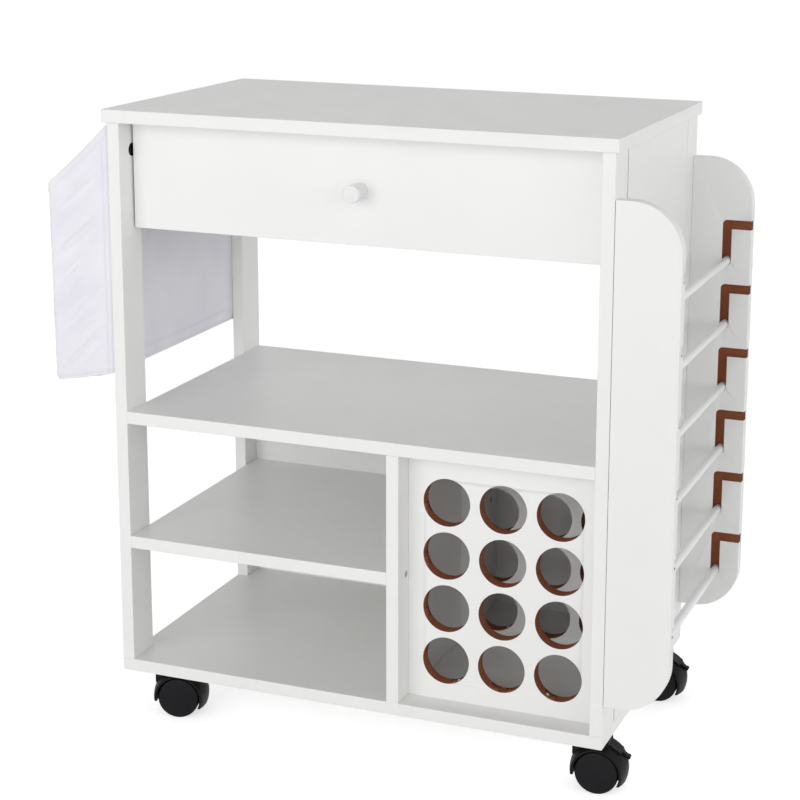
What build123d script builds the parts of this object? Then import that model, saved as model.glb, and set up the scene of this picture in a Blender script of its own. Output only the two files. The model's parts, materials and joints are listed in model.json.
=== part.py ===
from build123d import *
from math import cos, radians, sin
import os

# A white rolling craft cart: a board body on four twin-wheel casters, with a drawer, shelves, a bay
# for rolls, a rack of rods on its right side and a cloth bag on its left side.
# Millimetres, +Z up, front towards -Y. The origin is on the floor, under the middle of the whole cart.

# Boards
board = 15
edge_round = 0.8
seam = 0.6

# Body
caster_height = 65
body_width = 600
body_depth = 347
post_height = 648
post_depth = 46
side_overhang = 5
front_overhang = 5
rear_overhang = 3
top_corner_round = 3

# Shelves and panels inside the body
lower_bay_height = 294
small_shelf_height = 141
upper_rail_height = 110

# Panels that hold the rolls
hole_radius = 28
hole_columns = 3
hole_rows = 4
hole_column_pitch = 67
hole_row_pitch = 63
hole_grid_height = 142.5
hole_side_margin = 18.5
hole_panel_recess = 30
hole_panel_spacing = 170

# Rack on the right side
wing_width = 73
wing_height = 562
wing_rise = 37
wing_corner = 55
groove_count = 6
groove_width = 11
groove_depth = 8
groove_pitch = 78
groove_drop = 44
groove_reach = 44
first_groove_drop = 79
rod_radius = 5
rod_end_gap = 0.5
rod_seat_gap = 0.3

# Drawer
drawer_front_height = 122
drawer_top_gap = 3
drawer_side_gap = 2
drawer_recess = 28
drawer_board = 12
drawer_side_height = 85
drawer_side_rise = 12
drawer_rear_space = 14
drawer_bottom_thickness = 3
drawer_groove_depth = 5
drawer_groove_rise = 8
drawer_groove_gap = 0.2
knob_radius = 10
knob_length = 24
knob_round = 1.5

# Drawer runners, a steel channel that slides inside another
rail_space = 12.7
rail_height = 36
rail_metal = 1.2
rail_flange = 10
rail_setback = 2
running_gap = 0.3
slider_back_gap = 4

# Cloth bag on the left side
bag_gap = 0.3
bag_reach = 75
bag_wall = 3
bag_height = 288
bag_top_drop = 3
bag_slope = 70
bag_sag = 16
bag_corner = 25
bag_end_inset = 2

# Casters
caster_side_inset = 34
caster_end_inset = 40
trail = 20
wheel_radius = 25
wheel_width = 15
wheel_dome = 1.5
wheel_edge = 2.5
wheel_cap_flat = 5
wheel_gap = 0.5
web_width = 7
web_hub_radius = 9
pocket_gap = 1.5
fender_thickness = 2.5
fender_crown = 4
fender_leading_height = 21
fender_trailing_height = 13
plate_size = 42
plate_thickness = 2
plate_corner = 5
plate_hole_offset = 16
kingpin_radius = 4
kingpin_length = 13.5
boss_radius = 10
boss_depth = 22
hood_top_gap = 0.5
neck_width = 16
axle_radius = 3
axle_grip = 11.5
turning_gap = 0.05
end_gap = 0.5
front_left_turn = 15
front_right_turn = 4

# Brake levers on the right casters
lever_pivot_forward = 9
lever_pivot_height = 33
lever_width = 18
lever_length = 20
lever_thickness = 3
lever_tip_reach = 31.5
lever_tip_width = 6
lever_tip_radius = 2.2
lever_slope = 33
lever_travel = 10
lever_pin_radius = 1.5
lever_barrel_radius = 3
ear_thickness = 3
ear_radius = 3.6
lug_length = 5
lug_width = 3.6
lug_gap = 0.3

# Fasteners
hole_gap = 0.1
panel_screw_radius = 2
panel_screw_length = 40
panel_screw_head = 4
small_screw_radius = 1.75
small_screw_head = 3.5
small_screw_head_height = 1.8
rail_screw_length = 13
slider_screw_length = 10
drawer_screw_length = 30
drawer_dowel_radius = 2.5
drawer_dowel_grip = 10
drawer_dowel_length = 40
knob_screw_length = 27
bag_screw_length = 16
bag_screw_head = 5
caster_screw_length = 14
bolt_radius = 3
bolt_grip = 10
bolt_neck_radius = 1.8
bolt_neck_length = 5
bolt_head_length = 3
cam_radius = 7.5
cam_depth = 12
cam_distance = 34

# Places of the fasteners, measured from the edges of the boards that they join
post_bolt_inset = 29
panel_bolt_inset = 60
back_bolt_inset = 60
back_rail_bolt_inset = 150
divider_screw_inset = 23.5
hole_panel_screw_inset = 60
wing_screw_insets = (43, 223, 443)
rail_screw_inset = 65
drawer_screw_inset = 20
bag_screw_inset = 15
bag_screw_rises = (18, 153, 276)

# Heights
bottom_top = caster_height + board
post_top = bottom_top + post_height
overall_height = post_top + board
middle_bottom = bottom_top + lower_bay_height
middle_top = middle_bottom + board
small_bottom = bottom_top + small_shelf_height

# Faces of the body, placed so that the whole cart is centred on the origin
left_face = (bag_reach - body_width - wing_width) / 2
right_face = left_face + body_width
front_face = (front_overhang - body_depth - rear_overhang) / 2
rear_face = front_face + body_depth
left_inner = left_face + board
right_inner = right_face - board
back_panel_front = rear_face - board
roll_bay_width = (hole_columns - 1) * hole_column_pitch + 2 * (hole_radius + hole_side_margin)
divider_right = right_inner - roll_bay_width
divider_left = divider_right - board

upright = (Align.CENTER, Align.CENTER, Align.MIN)
left, right = Vector(-1, 0, 0), Vector(1, 0, 0)
front, back = Vector(0, -1, 0), Vector(0, 1, 0)
down, up = Vector(0, 0, -1), Vector(0, 0, 1)

pieces = {}
cutters = {}


def span(low, high):
    # Plain block between two opposite corners
    sizes = [end - start for start, end in zip(low, high)]
    centre = [(end + start) / 2 for start, end in zip(low, high)]
    return Pos(*centre) * Box(*sizes)


def board_piece(low, high):
    # Board with softened edges
    block = span(low, high)
    return fillet(block.edges(), edge_round)


def aim(shape, point, direction):
    # Moves a shape that stands on the XY plane so that it points along a direction
    return Plane(origin=point, z_dir=direction).location * shape


def rod(radius, length):
    return Cylinder(radius, length, align=upright)


def side_prism(points, rear, length):
    # Outline in x and z, drawn out forwards from the rear
    outline = Plane.XZ * make_face(Polyline(*points, close=True))
    return Pos(0, rear, 0) * extrude(outline, length)


def cut_later(node, cutter):
    cutters.setdefault(node, []).append(cutter)


def add_fastener(group, shape):
    pieces.setdefault(group, []).append(shape)


# Fasteners stand on the XY plane, with the head at z = 0 and the point along +Z

def driver_recess(head_radius, depth):
    slot = Box(head_radius * 1.2, head_radius * 0.22, depth, align=upright)
    return slot + Rot(0, 0, 90) * slot


def pointed_shank(radius, length):
    point_length = 2 * radius
    shank = rod(radius, length - point_length)
    return shank + Pos(0, 0, length - point_length) * Cone(radius, radius / 4, point_length, align=upright)


def flat_screw(radius, length, head_radius):
    # Countersunk screw, flush with the face that it goes in from
    head = Cone(head_radius, radius, head_radius - radius, align=upright)
    return pointed_shank(radius, length) + head - driver_recess(head_radius, radius / 2)


def flat_screw_hole(radius, length, head_radius):
    head = Cone(head_radius + hole_gap, radius + hole_gap, head_radius - radius, align=upright)
    return rod(radius + hole_gap, length + hole_gap) + head


def pan_screw(radius, length, head_radius, head_height):
    # Round-headed screw, with its head standing on the face
    head = Pos(0, 0, -head_height) * rod(head_radius, head_height)
    head = fillet(head.edges().group_by(Axis.Z)[0], head_height / 2)
    recess = Pos(0, 0, -head_height) * driver_recess(head_radius, head_height / 2)
    return pointed_shank(radius, length) + head - recess


def drive_screw(group, screw, hole, point, direction, nodes):
    add_fastener(group, aim(screw, point, direction))
    for node in nodes:
        cut_later(node, aim(hole, point, direction))


def panel_screw(point, direction, nodes):
    screw = flat_screw(panel_screw_radius, panel_screw_length, panel_screw_head)
    hole = flat_screw_hole(panel_screw_radius, panel_screw_length, panel_screw_head)
    drive_screw("panel_screws", screw, hole, point, direction, nodes)


def cam_joint(anchor_node, cam_node, seat, inward, outward):
    # A bolt in one board, held by a cam in the other. The seat is where the bolt crosses the joint,
    # inward points into the board with the cam, and outward out of the face that the cam sits in.
    seat = Vector(*seat)
    shank = bolt_grip + cam_distance - bolt_neck_length
    bolt = rod(bolt_radius, shank) + Pos(0, 0, shank) * rod(bolt_neck_radius, bolt_neck_length)
    bolt += Pos(0, 0, shank + bolt_neck_length) * rod(bolt_radius, bolt_head_length)
    bolt_end = seat - inward * bolt_grip
    add_fastener("cam_bolts", aim(bolt, bolt_end, inward))
    cut_later(anchor_node, aim(rod(bolt_radius + hole_gap, bolt_grip + hole_gap), seat, -inward))
    cut_later(cam_node, aim(rod(bolt_radius + running_gap, cam_distance), seat, inward))
    centre = seat + inward * cam_distance
    cam_face = centre + outward * (board / 2)
    cam = rod(cam_radius, cam_depth) - driver_recess(cam_radius, bolt_neck_radius)
    cam = aim(cam, cam_face, -outward)
    throat = rod(bolt_radius + running_gap, cam_distance + bolt_head_length + running_gap)
    add_fastener("cam_locks", cam - aim(throat, seat, inward))
    cut_later(cam_node, aim(rod(cam_radius + hole_gap, cam_depth + hole_gap), cam_face, -outward))


def make_body():
    # Posts, side panel, shelves and rails
    post_edges = {
        "left": (left_face, left_inner),
        "right": (right_inner, right_face),
    }
    for side, (start, end) in post_edges.items():
        pieces["front_" + side + "_post"] = board_piece(
            (start, front_face, bottom_top), (end, front_face + post_depth, post_top))
        pieces["rear_" + side + "_post"] = board_piece(
            (start, rear_face - post_depth, bottom_top), (end, rear_face, post_top))
    infill_front = front_face + post_depth + seam
    infill_rear = rear_face - post_depth - seam
    pieces["right_infill_panel"] = board_piece(
        (right_inner, infill_front, bottom_top), (right_face, infill_rear, post_top))
    pieces["left_upper_rail"] = board_piece(
        (left_face, front_face + post_depth, post_top - upper_rail_height),
        (left_inner, rear_face - post_depth, post_top))
    pieces["upper_back_rail"] = board_piece(
        (left_inner, back_panel_front, post_top - upper_rail_height), (right_inner, rear_face, post_top))
    pieces["bottom_panel"] = board_piece(
        (left_face, front_face, caster_height), (right_face, rear_face, bottom_top))
    pieces["middle_shelf"] = board_piece(
        (left_inner, front_face, middle_bottom), (right_inner, rear_face, middle_top))
    pieces["small_shelf"] = board_piece(
        (left_inner, front_face, small_bottom), (divider_left, back_panel_front, small_bottom + board))
    pieces["divider"] = board_piece(
        (divider_left, front_face, bottom_top), (divider_right, back_panel_front, middle_bottom))
    pieces["lower_back_panel"] = board_piece(
        (left_inner, back_panel_front, bottom_top), (right_inner, rear_face, middle_bottom))
    top = span((left_face - side_overhang, front_face - front_overhang, post_top),
               (right_face + side_overhang, rear_face + rear_overhang, overall_height))
    top = fillet(top.edges().filter_by(Axis.Z), top_corner_round)
    pieces["top_panel"] = fillet(top.faces().filter_by(Axis.Z).edges(), edge_round)


def join_body():
    # Cam joints under the top panel
    middle_thickness = board / 2
    for side, outer, facing in (("left", left_face, right), ("right", right_face, left)):
        x = outer + facing.X * middle_thickness
        front_seat = (x, front_face + post_bolt_inset, post_top)
        rear_seat = (x, rear_face - post_bolt_inset, post_top)
        cam_joint("top_panel", "front_" + side + "_post", front_seat, down, facing)
        cam_joint("top_panel", "rear_" + side + "_post", rear_seat, down, facing)
    rail_middle = post_top - upper_rail_height / 2
    panel_ends = (front_face + post_depth + panel_bolt_inset, rear_face - post_depth - panel_bolt_inset)
    for y in panel_ends:
        cam_joint("top_panel", "right_infill_panel", (right_face - middle_thickness, y, post_top),
                  down, left)
        cam_joint("top_panel", "left_upper_rail", (left_face + middle_thickness, y, post_top), down, left)
        panel_screw((right_face - middle_thickness, y, caster_height), up,
                    ("bottom_panel", "right_infill_panel"))
    rail_x = left_face + middle_thickness
    cam_joint("front_left_post", "left_upper_rail",
              (rail_x, front_face + post_depth, rail_middle), back, left)
    cam_joint("rear_left_post", "left_upper_rail",
              (rail_x, rear_face - post_depth, rail_middle), front, left)

    # Rear rail and lower back panel, between the rear posts
    rear_middle = rear_face - middle_thickness
    for x in (left_inner + back_rail_bolt_inset, right_inner - back_rail_bolt_inset):
        cam_joint("top_panel", "upper_back_rail", (x, rear_middle, post_top), down, front)
    for side, x, inward in (("left", left_inner, right), ("right", right_inner, left)):
        cam_joint("rear_" + side + "_post", "upper_back_rail", (x, rear_middle, rail_middle), inward, front)
        for z in (bottom_top + back_bolt_inset, middle_bottom - back_bolt_inset):
            cam_joint("rear_" + side + "_post", "lower_back_panel", (x, rear_middle, z), inward, back)

    # Shelves, held to the posts
    shelf_middle = middle_bottom + middle_thickness
    small_middle = small_bottom + middle_thickness
    for end, y in (("front", front_face + post_bolt_inset), ("rear", rear_face - post_bolt_inset)):
        left_post = end + "_left_post"
        cam_joint(left_post, "middle_shelf", (left_inner, y, shelf_middle), right, down)
        cam_joint(left_post, "small_shelf", (left_inner, y, small_middle), right, down)
        cam_joint(end + "_right_post", "middle_shelf", (right_inner, y, shelf_middle), left, down)

    # Divider, screwed to the small shelf from its right face
    divider_middle = divider_left + middle_thickness
    for y in (front_face + panel_bolt_inset, back_panel_front - panel_bolt_inset):
        cam_joint("middle_shelf", "divider", (divider_middle, y, middle_bottom), down, left)
        panel_screw((divider_middle, y, caster_height), up, ("bottom_panel", "divider"))
    for y in (front_face + divider_screw_inset, back_panel_front - divider_screw_inset):
        panel_screw((divider_right, y, small_middle), left, ("divider", "small_shelf"))

    # Screws up through the bottom panel
    for side, x in (("left", rail_x), ("right", right_face - middle_thickness)):
        panel_screw((x, front_face + post_depth / 2, caster_height), up,
                    ("bottom_panel", "front_" + side + "_post"))
        panel_screw((x, rear_face - post_depth / 2, caster_height), up,
                    ("bottom_panel", "rear_" + side + "_post"))
    back_screw_inset = (right_inner - left_inner) / 6
    for x in (left_inner + back_screw_inset, right_inner - back_screw_inset):
        panel_screw((x, rear_middle, caster_height), up, ("bottom_panel", "lower_back_panel"))


def make_hole_panels():
    # Two panels with a grid of round holes that hold the rolls level
    grid_x = (divider_right + right_inner) / 2
    grid_z = bottom_top + hole_grid_height
    fronts = {
        "front_hole_panel": front_face + hole_panel_recess,
        "rear_hole_panel": front_face + hole_panel_recess + hole_panel_spacing,
    }
    for node, panel_front in fronts.items():
        panel = board_piece((divider_right, panel_front, bottom_top),
                            (right_inner, panel_front + board, middle_bottom))
        for column in range(hole_columns):
            for row in range(hole_rows):
                x = grid_x + (column - (hole_columns - 1) / 2) * hole_column_pitch
                z = grid_z + (row - (hole_rows - 1) / 2) * hole_row_pitch
                panel -= aim(rod(hole_radius, board), (x, panel_front, z), back)
        pieces[node] = panel
        for x in (divider_right + hole_panel_screw_inset, right_inner - hole_panel_screw_inset):
            panel_screw((x, panel_front + board / 2, caster_height), up, ("bottom_panel", node))


def groove(wing_face, direction, mouth_z):
    # Inverted L: in from the wing's outer edge, then down to where the rod rests
    half = groove_width / 2
    leg_x = right_face + groove_reach
    rest_z = mouth_z - groove_drop
    near = wing_face
    far = wing_face + direction.Y * groove_depth
    low_y, high_y = min(near, far), max(near, far)
    mouth = span((leg_x, low_y, mouth_z - half), (right_face + wing_width, high_y, mouth_z + half))
    leg = span((leg_x - half, low_y, rest_z), (leg_x + half, high_y, mouth_z))
    bend = aim(rod(half, groove_depth), (leg_x, near, mouth_z), direction)
    seat = aim(rod(half, groove_depth), (leg_x, near, rest_z), direction)
    return mouth + leg + bend + seat


def make_rack():
    # Two wings with facing grooves, and a rod across each pair of grooves
    bottom = bottom_top + wing_rise
    top = bottom + wing_height
    wings = {
        "front_rack_wing": (front_face, front_face + board, front),
        "rear_rack_wing": (rear_face - board, rear_face - board, back),
    }
    for node, (low_y, inner_face, into_wing) in wings.items():
        wing = span((right_face, low_y, bottom), (right_face + wing_width, low_y + board, top))
        wing = fillet(wing.edges().filter_by(Axis.Y).group_by(Axis.X)[-1], wing_corner)
        wing = fillet(wing.faces().filter_by(Axis.Y).edges(), edge_round)
        for number in range(groove_count):
            mouth_z = top - first_groove_drop - number * groove_pitch
            wing -= groove(inner_face, into_wing, mouth_z)
        pieces[node] = wing
        post = node.split("_")[0] + "_right_post"
        for inset in wing_screw_insets:
            panel_screw((right_inner, low_y + board / 2, bottom + inset), right, (post, node))

    rod_length = body_depth - 2 * board + 2 * (groove_depth - rod_end_gap)
    rod_start = front_face + board - groove_depth + rod_end_gap
    sink = groove_width / 2 - rod_radius - rod_seat_gap
    for number in range(groove_count):
        z = top - first_groove_drop - number * groove_pitch - groove_drop - sink
        bar = rod(rod_radius, rod_length)
        bar = chamfer(bar.edges(), edge_round)
        pieces["roll_rod_" + str(number + 1)] = aim(bar, (right_face + groove_reach, rod_start, z), back)


def make_drawer():
    # Drawer front and box. The bottom slides in a groove all round.
    front_y = front_face + drawer_recess
    box_front = front_y + board
    box_rear = back_panel_front - drawer_rear_space
    front_top = post_top - drawer_top_gap
    front_bottom = front_top - drawer_front_height
    low = front_bottom + drawer_side_rise
    high = low + drawer_side_height
    box_left = left_inner + rail_space
    box_right = right_inner - rail_space
    bottom_z = low + drawer_groove_rise
    reach = drawer_groove_depth - drawer_groove_gap
    groove_space = span(
        (box_left + drawer_board - drawer_groove_depth, box_front - drawer_groove_depth, bottom_z),
        (box_right - drawer_board + drawer_groove_depth,
         box_rear - drawer_board + drawer_groove_depth,
         bottom_z + drawer_bottom_thickness + drawer_groove_gap))
    drawer_front = board_piece((left_inner + drawer_side_gap, front_y, front_bottom),
                               (right_inner - drawer_side_gap, box_front, front_top))
    left_side = board_piece((box_left, box_front, low), (box_left + drawer_board, box_rear, high))
    right_side = board_piece((box_right - drawer_board, box_front, low), (box_right, box_rear, high))
    drawer_back = board_piece((box_left + drawer_board, box_rear - drawer_board, low),
                              (box_right - drawer_board, box_rear, high))
    pieces["drawer_front"] = drawer_front - groove_space
    pieces["drawer_left_side"] = left_side - groove_space
    pieces["drawer_right_side"] = right_side - groove_space
    pieces["drawer_back"] = drawer_back - groove_space
    pieces["drawer_bottom"] = span(
        (box_left + drawer_board - reach, box_front - reach, bottom_z),
        (box_right - drawer_board + reach, box_rear - drawer_board + reach,
         bottom_z + drawer_bottom_thickness))

    # Round knob, held by a screw from inside
    knob_x = (left_inner + right_inner) / 2
    knob_z = (front_bottom + front_top) / 2
    knob = rod(knob_radius, knob_length)
    knob = fillet(knob.edges().group_by(Axis.Z)[-1], knob_round)
    pieces["drawer_knob"] = aim(knob, (knob_x, front_y, knob_z), front)
    screw = pan_screw(panel_screw_radius, knob_screw_length, panel_screw_head, small_screw_head_height)
    hole = rod(panel_screw_radius + hole_gap, knob_screw_length + hole_gap)
    drive_screw("drawer_screws", screw, hole, (knob_x, box_front, knob_z), front,
                ("drawer_front", "drawer_knob"))

    # Screws into the back of the box, and threaded dowels from the sides into the front
    side_screw = flat_screw(small_screw_radius, drawer_screw_length, small_screw_head)
    side_hole = flat_screw_hole(small_screw_radius, drawer_screw_length, small_screw_head)
    dowel = rod(drawer_dowel_radius, drawer_dowel_length)
    dowel_hole = Pos(0, 0, -hole_gap) * rod(drawer_dowel_radius + hole_gap,
                                            drawer_dowel_length + 2 * hole_gap)
    sides = (("drawer_left_side", box_left, right), ("drawer_right_side", box_right, left))
    for side, outer, inward in sides:
        for z in (low + drawer_screw_inset, high - drawer_screw_inset):
            drive_screw("drawer_screws", side_screw, side_hole,
                        (outer, box_rear - drawer_board / 2, z), inward, (side, "drawer_back"))
            dowel_start = (outer + inward.X * drawer_board / 2, box_front - drawer_dowel_grip, z)
            drive_screw("drawer_screws", dowel, dowel_hole, dowel_start, back, (side, "drawer_front"))

    make_rails(box_front + rail_setback, box_rear, (low + high) / 2)


def make_rails(start, end, middle):
    # A fixed channel on each side of the body, and a channel on the drawer that slides inside it
    fixed_half = rail_height / 2
    slider_half = fixed_half - rail_metal - running_gap
    rail_screw = pan_screw(small_screw_radius, rail_screw_length, small_screw_head, small_screw_head_height)
    rail_hole = rod(small_screw_radius + hole_gap, rail_screw_length + hole_gap)
    slider_screw = pan_screw(small_screw_radius, slider_screw_length, small_screw_head,
                             small_screw_head_height)
    slider_hole = rod(small_screw_radius + hole_gap, slider_screw_length + hole_gap)
    sides = (("left", left_inner, right, "left_upper_rail"),
             ("right", right_inner, left, "right_infill_panel"))
    for side, wall, inward, carrier in sides:

        def strip(near, far, low, high):
            # Flat metal between two distances from the wall and two heights from the middle
            edges = sorted((wall + inward.X * near, wall + inward.X * far))
            return span((edges[0], start, middle + low), (edges[1], end, middle + high))

        fixed_rail = strip(0, rail_metal, -fixed_half, fixed_half)
        fixed_rail += strip(0, rail_flange, fixed_half - rail_metal, fixed_half)
        fixed_rail += strip(0, rail_flange, -fixed_half, rail_metal - fixed_half)
        slider = strip(rail_space - rail_metal, rail_space, -slider_half, slider_half)
        slider += strip(slider_back_gap, rail_space, slider_half - rail_metal, slider_half)
        slider += strip(slider_back_gap, rail_space, -slider_half, rail_metal - slider_half)
        pieces[side + "_fixed_rail"] = fixed_rail
        pieces[side + "_slider"] = slider
        fixed_web = wall + inward.X * rail_metal
        slider_web = wall + inward.X * (rail_space - rail_metal)
        for y in (start + rail_screw_inset, end - rail_screw_inset):
            drive_screw("runner_screws", rail_screw, rail_hole, (fixed_web, y, middle), -inward,
                        (side + "_fixed_rail", carrier))
            drive_screw("drawer_screws", slider_screw, slider_hole, (slider_web, y, middle), inward,
                        (side + "_slider", "drawer_" + side + "_side"))


def make_bag():
    # Open-topped cloth bag, screwed to the left posts through its back
    back_x = left_face - bag_gap
    outer_x = left_face - bag_reach
    top = post_top - bag_top_drop
    outer_top = top - bag_slope
    bottom = top - bag_height
    outer_bottom = bottom - bag_sag
    outside = side_prism(
        [(back_x, bottom), (back_x, top), (back_x - bag_wall, top), (outer_x, outer_top),
         (outer_x, outer_bottom)],
        rear_face - bag_end_inset, body_depth - 2 * bag_end_inset)
    outside = fillet(outside.edges().filter_by(Axis.Y).group_by(Axis.Z)[0], bag_corner)
    inside = side_prism(
        [(back_x - bag_wall, bottom + bag_wall), (back_x - bag_wall, top), (outer_x + bag_wall, top),
         (outer_x + bag_wall, outer_bottom + bag_wall)],
        rear_face - bag_end_inset - bag_wall, body_depth - 2 * (bag_end_inset + bag_wall))
    inside = fillet(inside.edges().filter_by(Axis.Y).group_by(Axis.Z)[0], bag_corner - bag_wall)
    pieces["craft_bag"] = outside - inside

    screw = pan_screw(panel_screw_radius, bag_screw_length, bag_screw_head, small_screw_head_height)
    hole = rod(panel_screw_radius + hole_gap, bag_screw_length + hole_gap)
    posts = (("front_left_post", front_face + bag_screw_inset),
             ("rear_left_post", rear_face - bag_screw_inset))
    for post, y in posts:
        for rise in bag_screw_rises:
            drive_screw("bag_screws", screw, hole, (back_x - bag_wall, y, bottom + rise), right,
                        (post, "craft_bag"))


# Caster pieces are built round the swivel axis, with the wheels trailing towards +X

def wheel_disc(radius, inner, outer):
    # Disc round the axle between two distances along it
    return aim(rod(radius, outer - inner), (trail, inner, wheel_radius), back)


def lever_place(slope):
    # The lever's pivot, with local +X along the lever
    return Pos(trail + lever_pivot_forward, 0, wheel_radius + lever_pivot_height) * Rot(0, slope, 0)


def lug_sizes():
    # With the lever pressed: how far the lugs reach, and how far along the lever they are
    slope = radians(lever_slope + lever_travel)
    distance = lever_pivot_forward * sin(slope) + lever_pivot_height * cos(slope)
    along = lever_pivot_height * sin(slope) - lever_pivot_forward * cos(slope)
    return distance - wheel_radius - lug_gap, along, distance


def crowned_barrel(radius, crown, half_width):
    # Barrel round the axle that bulges by the crown in its middle
    outline = Polyline((radius, half_width), (0, half_width), (0, -half_width), (radius, -half_width))
    outline += ThreePointArc((radius, -half_width), (radius + crown, 0), (radius, half_width))
    barrel = revolve(Plane.XZ * make_face(outline), Axis.Z)
    return aim(barrel, (trail, 0, wheel_radius), back)


def caster_hood(braked):
    # Fender over both wheels, a web between them and a boss round the kingpin
    pocket_radius = wheel_radius + pocket_gap
    fender_radius = pocket_radius + fender_thickness
    half_width = web_width / 2 + wheel_gap + wheel_width + wheel_dome
    boss_top = caster_height - plate_thickness - hood_top_gap
    boss_bottom = boss_top - boss_depth
    axle_height = wheel_radius
    hood = crowned_barrel(fender_radius, fender_crown, half_width)
    hood += Pos(0, 0, boss_bottom) * rod(boss_radius, boss_depth)
    hood += side_prism(
        [(-boss_radius, boss_bottom), (-boss_radius, boss_top - fender_thickness),
         (boss_radius, boss_top - fender_thickness), (trail, axle_height + fender_radius),
         (trail, axle_height)],
        neck_width / 2, neck_width)
    ear_start = lever_width / 2 + lug_gap
    if braked:
        pivot_x = trail + lever_pivot_forward
        pivot_z = wheel_radius + lever_pivot_height
        for y in (ear_start, -ear_start - ear_thickness):
            hood += aim(rod(ear_radius, ear_thickness), (pivot_x, y, pivot_z), back)
            hood += span((pivot_x - ear_radius, y, axle_height + wheel_radius),
                         (pivot_x + ear_radius, y + ear_thickness, pivot_z))
    far = 3 * fender_radius
    hood -= side_prism(
        [(-far, fender_leading_height), (trail, fender_leading_height), (trail, fender_trailing_height),
         (far, fender_trailing_height), (far, -far), (-far, -far)],
        half_width, 2 * half_width)
    hood -= wheel_disc(pocket_radius, web_width / 2, half_width)
    hood -= wheel_disc(pocket_radius, -half_width, -web_width / 2)
    hood += wheel_disc(web_hub_radius, -web_width / 2, web_width / 2)
    hood -= wheel_disc(axle_radius + turning_gap, -web_width / 2, web_width / 2)
    bore_depth = kingpin_length + end_gap - hood_top_gap
    hood -= Pos(0, 0, boss_top - bore_depth) * rod(kingpin_radius + turning_gap, bore_depth)
    if braked:
        reach, along, distance = lug_sizes()
        swing = reach * sin(radians(lever_travel))
        window = span(
            (along - lug_length / 2 - end_gap, web_width / 2, -reach - end_gap),
            (along + lug_length / 2 + swing + end_gap, lever_width / 2, fender_radius - distance + end_gap))
        window += mirror(window, Plane.XZ)
        slot_half = lever_width / 2 + lug_gap
        barrel_room = lever_barrel_radius + end_gap
        slot = span((-barrel_room, -slot_half, -lever_tip_radius - end_gap), (far, slot_half, far))
        slot += aim(rod(barrel_room, 2 * slot_half), (0, -slot_half, 0), back)
        hood -= lever_place(lever_slope + lever_travel) * (window + slot)
        pin_hole = rod(lever_pin_radius + turning_gap, 2 * (ear_start + ear_thickness))
        hood -= aim(pin_hole, (pivot_x, -ear_start - ear_thickness, pivot_z), back)
    return hood


def brake_lever():
    # Flat lever on two pins, with a lug above each wheel and a narrow tip with a round end
    reach, along, distance = lug_sizes()
    lever = span((0, -lever_width / 2, -lever_thickness / 2),
                 (lever_length, lever_width / 2, lever_thickness / 2))
    lever = fillet(lever.edges().filter_by(Axis.Y).group_by(Axis.X)[-1], lever_thickness / 3)
    tip_middle = lever_tip_reach - lever_tip_radius
    lever += span((lever_length / 2, -lever_tip_width / 2, -lever_thickness / 2),
                  (tip_middle, lever_tip_width / 2, lever_thickness / 2))
    lever += aim(rod(lever_tip_radius, lever_tip_width), (tip_middle, -lever_tip_width / 2, 0), back)
    barrel_start = -lever_width / 2
    lever += aim(rod(lever_barrel_radius, lever_width), (0, barrel_start, 0), back)
    pin_start = barrel_start - lug_gap - ear_thickness
    lever += aim(rod(lever_pin_radius, -2 * pin_start), (0, pin_start, 0), back)
    lug_start = web_width / 2 + 2 * wheel_gap
    lug = span((along - lug_length / 2, lug_start, -reach),
               (along + lug_length / 2, lug_start + lug_width, 0))
    lever += lug + mirror(lug, Plane.XZ)
    return lever_place(lever_slope) * lever


def caster_wheel():
    # Plastic wheel with a slightly domed outer face, its inner face on the XY plane
    cap_reach = wheel_radius - wheel_edge
    dome_top = wheel_width + wheel_dome
    dome_middle = ((cap_reach + wheel_cap_flat) / 2, wheel_width + wheel_dome * 3 / 4)
    outline = Polyline((wheel_cap_flat, dome_top), (0, dome_top), (0, 0),
                       (wheel_radius - edge_round, 0), (wheel_radius, edge_round),
                       (wheel_radius, wheel_width - wheel_edge))
    outline += TangentArc((wheel_radius, wheel_width - wheel_edge), (cap_reach, wheel_width),
                          tangent=(0, 1))
    outline += ThreePointArc((cap_reach, wheel_width), dome_middle, (wheel_cap_flat, dome_top))
    wheel = revolve(Plane.XZ * make_face(outline), Axis.Z)
    return wheel - rod(axle_radius + turning_gap, axle_grip + end_gap)


def caster_plate():
    # Steel plate with its kingpin, round the swivel axis
    plate = Pos(0, 0, caster_height - plate_thickness) * Box(
        plate_size, plate_size, plate_thickness, align=upright)
    plate = fillet(plate.edges().filter_by(Axis.Z), plate_corner)
    pin_bottom = caster_height - plate_thickness - kingpin_length
    return plate + Pos(0, 0, pin_bottom) * rod(kingpin_radius, kingpin_length + plate_thickness)


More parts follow.
